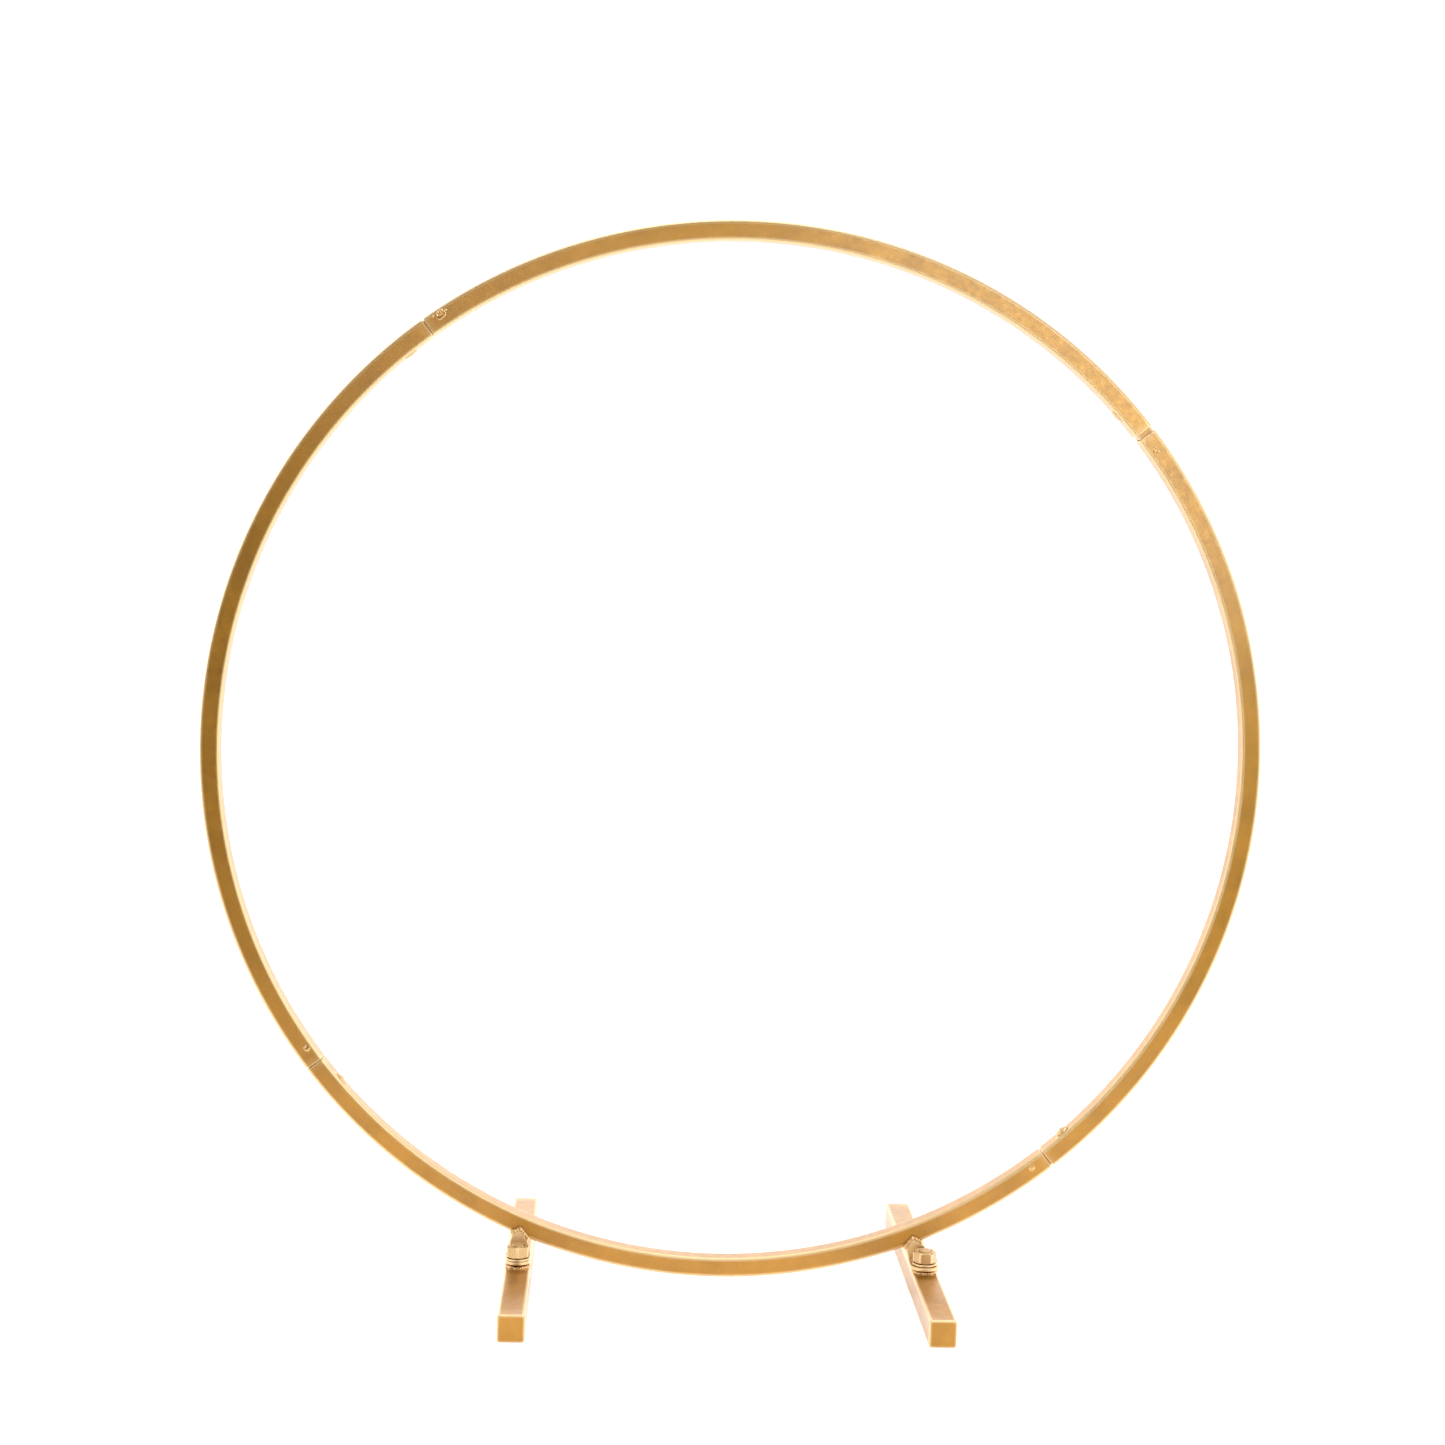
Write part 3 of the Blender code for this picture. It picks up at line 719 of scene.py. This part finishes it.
def cap_mesh(name, side, end):
    """Square cap with eased front edges and a hollow boss."""
    low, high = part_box(f"foot_cap_{side}_{end}")
    size = high.x - low.x
    facing = -1 if end == "front" else 1
    outer = low.y if end == "front" else high.y
    seat = outer - facing * CAP_HEAD
    inner = high.y if end == "front" else low.y
    place = along_foot(side, low.z, size)
    sections = [(seat, 0.15 * MM), (seat + facing * 0.12 * MM, 0.0)]
    for step in range(7):
        turned = math.pi / 2 * step / 6
        sections.append((outer - facing * CAP_EDGE * (1 - math.sin(turned)),
                         CAP_EDGE * (1 - math.cos(turned))))
    sections.append((outer - facing * 0.02 * MM, CAP_EDGE + 1.2 * MM))
    rows = []
    for t, inset in sections:
        outline = rounded_outline(size - 2 * inset, max(FOOT_CORNER - inset, 0.5 * MM))
        rows.append([place(t, p.x, p.y) for p in outline])
    head = grid_mesh(name, rows)
    boss_size = size - 2 * (FOOT_WALL + CAP_FIT)
    bottom = low.z + FOOT_WALL + CAP_FIT
    first, last = sorted((seat + facing * 0.4 * MM, inner))
    boss = tube_mesh(name + "_boss", along_foot(side, bottom, boss_size), first, last, boss_size,
                     1.5 * MM, CAP_WALL, 3, 0.25 * MM)
    return merged(head, boss)


def hexagon_reach(angle, turned):
    """Distance from the axis to a hexagon's side, with its corners slightly rounded."""
    total = 0.0
    for side in range(3):
        total += abs(math.cos(angle - turned - TAU / 12 - side * TAU / 6)) ** HEX_POWER
    return HEX_FLATS / 2 * total ** (-1 / HEX_POWER)


def hexagon_profile(angle, turned, low, high, inner):
    """Section of a hexagon chamfered at both ends, from the bottom up."""
    reach = hexagon_reach(angle, turned)
    land = HEX_FLATS / 2 * HEX_LAND
    drop = (reach - land) * CHAMFER_SLOPE
    profile = [(inner, low), (land, low), (reach, low + drop), (reach, high - drop),
               (land, high), (inner, high)]
    return eased(profile, 0.3 * MM)


def turned_mesh(name, profile_at, place, hollow=False):
    """Closed mesh round z whose profile changes with the angle."""
    columns = []
    for i in range(120):
        angle = TAU * i / 120
        columns.append([place(Vector((r * math.cos(angle), r * math.sin(angle), z)))
                        for r, z in profile_at(angle)])
    return grid_mesh(name, [list(row) for row in zip(*columns)], ring=hollow)


def nut_mesh(side):
    """Chamfered nut with a threaded bore, turned as its CAD node is."""
    node = f"nut_{side}"
    low, high = (corner.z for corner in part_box(node))
    co = node_points(node) - np.array(BOLT[side])
    far = co[np.hypot(co[:, 0], co[:, 1]).argmax()]
    turned = math.atan2(far[1], far[0])

    def profile(angle):
        section = hexagon_profile(angle, turned, low, high, SINK_RADIUS)
        for z in np.linspace(high, low, round((high - low) / BOLT_PITCH * 10))[1:-1]:
            tapped = thread_radius(BOLT_RADIUS + THREAD_PLAY, BOLT_THREAD, BOLT_PITCH, z, angle)
            section.append((max(tapped, SINK_RADIUS - min(high - z, z - low)), z))
        return section

    return turned_mesh(node + "_fine", profile, upright(side), hollow=True)


def washer_mesh(side):
    low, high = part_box(f"washer_{side}")
    outer = (high.x - low.x) / 2
    profile = [(outer, low.z), (outer, high.z), (HOLE_RADIUS, high.z), (HOLE_RADIUS, low.z)]
    return lathe_mesh(f"washer_{side}_fine", eased_loop(profile, 0.4 * MM), upright(side), 96,
                      hollow=True)


def bolt_mesh(side):
    low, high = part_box(f"foot_bolt_{side}")
    place = upright(side)
    head_top = low.z + BOLT_HEAD
    head = turned_mesh("bolt_head", lambda angle: hexagon_profile(angle, 0, low.z, head_top,
                                                                  0.01 * MM), place)
    shank = thread_mesh("bolt_shank", BOLT_RADIUS, BOLT_THREAD, BOLT_PITCH, head_top - 0.5 * MM,
                        high.z, place, 48, 0.9 * MM)
    return merged(head, shank)


def bolt_weld_lumps(side, chance):
    """Two runs of weld that meet in front of and behind the bolt."""
    low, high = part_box(f"bolt_weld_{side}")
    outer = (high.x - low.x) / 2
    height = high.z - low.z
    centre = BOLT[side]
    lumps = []
    count = 34
    for step in range(count):
        angle = TAU * step / count
        lobe = abs(math.cos(angle)) ** 0.6
        size = (1.75 + 0.65 * lobe + 0.35 * math.sin(step * 2.1) * lobe
                + 0.4 * (chance.random() - 0.5)) * MM
        size = min(size, 2.55 * MM)
        middle = min(6.9 * MM + 0.6 * MM * lobe, outer - size)
        tall = height * (0.62 + 0.34 * lobe + 0.10 * (chance.random() - 0.5))
        place = Vector((centre.x + middle * math.cos(angle), centre.y + middle * math.sin(angle),
                        low.z - 0.25 * MM + tall * 0.25))
        lumps.append(Matrix.Translation(place) @ Matrix.Rotation(angle, 4, "Z")
                     @ Matrix.Diagonal((size, size * 0.75, tall * 0.78, 1)))
    return lumps


for side in SIDES:
    foot = f"foot_{side}"
    node = f"foot_tube_{side}"
    low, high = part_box(node)
    size = high.x - low.x
    mesh = tube_mesh(node + "_fine", along_foot(side, low.z, size), low.y, high.y, size,
                     FOOT_CORNER, FOOT_WALL, 30)
    hole = lathe_mesh("hole", [(HOLE_RADIUS, size / 2), (HOLE_RADIUS, size * 1.4)],
                      upright(side), 64)
    new_piece(node, cut(mesh, hole), foot, "gold_painted_tube")
    for end in ("front", "rear"):
        node = f"foot_cap_{side}_{end}"
        new_piece(node, cap_mesh(node + "_fine", side, end), foot, "gold_painted_tube")
    node = f"foot_bolt_{side}"
    new_piece(node, bolt_mesh(side), foot, "gold_painted_fastener")
    node = f"bolt_weld_{side}"
    mesh = weld_mesh(node + "_fine", bolt_weld_lumps(side, chance), 0.22 * MM, 0.08 * MM,
                     20 + SIDES[side])
    new_piece(node, mesh, foot, "gold_painted_weld")
    node = f"washer_{side}"
    new_piece(node, washer_mesh(side), node, "gold_painted_fastener")
    node = f"nut_{side}"
    new_piece(node, nut_mesh(side), node, "gold_painted_fastener")


# Floor, light and camera

def make_floor():
    """White sheet; past its front edge the dimmer world shows in the hoop's reflections."""
    mesh = bpy.data.meshes.new("floor")
    corners = [(-FLOOR_HALF, FLOOR_FRONT, 0), (FLOOR_HALF, FLOOR_FRONT, 0),
               (FLOOR_HALF, FLOOR_BACK, 0), (-FLOOR_HALF, FLOOR_BACK, 0)]
    mesh.from_pydata(corners, [], [(0, 1, 2, 3)])
    floor = bpy.data.objects.new("floor", mesh)
    bpy.context.scene.collection.objects.link(floor)
    material = bpy.data.materials.new("floor_white")
    material.use_nodes = True
    shader = material.node_tree.nodes["Principled BSDF"]
    shader.inputs["Base Color"].default_value = (*FLOOR_WHITE, 1)
    shader.inputs["Roughness"].default_value = 0.9
    shader.inputs["Specular IOR Level"].default_value = 0.1
    shader.inputs["Emission Color"].default_value = (1, 1, 1, 1)
    shader.inputs["Emission Strength"].default_value = FLOOR_GLOW
    mesh.materials.append(material)


def make_world():
    """Bright studio behind and above, dimmer towards the front and the left; white to look at."""
    world = bpy.data.worlds.new("studio")
    bpy.context.scene.world = world
    world.use_nodes = True
    tree = world.node_tree
    tree.nodes.clear()
    direction = tree.nodes.new("ShaderNodeTexCoord").outputs["Generated"]

    def towards(x, y, z):
        dot = add(tree, "ShaderNodeVectorMath", operation="DOT_PRODUCT")
        tree.links.new(direction, dot.inputs[0])
        dot.inputs[1].default_value = (x, y, z)
        return dot.outputs["Value"]

    def combined(operation, first, second):
        node = add(tree, "ShaderNodeMath", operation=operation)
        tree.links.new(first, node.inputs[0])
        if isinstance(second, float):
            node.inputs[1].default_value = second
        else:
            tree.links.new(second, node.inputs[1])
        return node.outputs[0]

    height = spread(tree, towards(0, 0, 1), -1, 1, 0, 1)
    bands = tree.nodes.new("ShaderNodeValToRGB")
    tree.links.new(height, bands.inputs["Fac"])
    stops = bands.color_ramp.elements
    while len(stops) < len(WORLD_BANDS):
        stops.new(0.5)
    for stop, (z, strength) in zip(stops, WORLD_BANDS):
        stop.position = (z + 1) / 2
        stop.color = (strength, strength, strength, 1)
    wall = spread(tree, towards(*WORLD_DARK), *WORLD_DIMS, 1, 0)
    overhead = spread(tree, towards(0, 0, 1), *WORLD_TOP_EDGE, 0, WORLD_TOP)
    total = combined("MULTIPLY", bands.outputs["Color"], wall)
    total = combined("ADD", total, overhead)
    total = combined("ADD", total, WORLD_LEAST)
    studio = tree.nodes.new("ShaderNodeBackground")
    tree.links.new(total, studio.inputs["Strength"])
    plain = add(tree, "ShaderNodeBackground", Strength=WORLD_SEEN)
    plain.inputs["Color"].default_value = (1, 1, 1, 1)
    studio.inputs["Color"].default_value = (1, 1, 1, 1)
    mix = tree.nodes.new("ShaderNodeMixShader")
    seen = tree.nodes.new("ShaderNodeLightPath").outputs["Is Camera Ray"]
    tree.links.new(seen, mix.inputs[0])
    tree.links.new(studio.outputs[0], mix.inputs[1])
    tree.links.new(plain.outputs[0], mix.inputs[2])
    output = tree.nodes.new("ShaderNodeOutputWorld")
    tree.links.new(mix.outputs[0], output.inputs["Surface"])


def make_softbox(name, place, target, size, power, colour):
    light = bpy.data.lights.new(name, "AREA")
    light.color = colour
    light.shape = "DISK"
    light.size = size
    light.energy = power
    lamp = bpy.data.objects.new(name, light)
    bpy.context.scene.collection.objects.link(lamp)
    lamp.location = place
    lamp.rotation_euler = (Vector(target) - Vector(place)).to_track_quat("-Z", "Y").to_euler()
    lamp.visible_camera = False


def make_camera():
    data = bpy.data.cameras.new("camera")
    data.sensor_width = SENSOR_WIDTH
    data.lens = CAMERA_FOCAL / PICTURE_WIDTH * SENSOR_WIDTH
    data.clip_start, data.clip_end = 0.05, 50
    camera = bpy.data.objects.new("camera", data)
    bpy.context.scene.collection.objects.link(camera)
    yaw, pitch, roll = (math.radians(part) for part in CAMERA_TURN)
    forward = Vector((math.sin(yaw) * math.cos(pitch), math.cos(yaw) * math.cos(pitch),
                      -math.sin(pitch)))
    right = Vector((math.cos(yaw), -math.sin(yaw), 0))
    up = right.cross(forward)
    level = math.cos(roll) * right + math.sin(roll) * up
    above = -math.sin(roll) * right + math.cos(roll) * up
    axes = Matrix((level, above, -forward)).transposed()
    camera.matrix_world = Matrix.Translation(CAMERA_PLACE) @ axes.to_4x4()
    bpy.context.scene.camera = camera


make_floor()
make_world()
for name, settings in SOFTBOXES.items():
    make_softbox(name, *settings)
make_camera()
bpy.context.scene.view_settings.view_transform = "Standard"
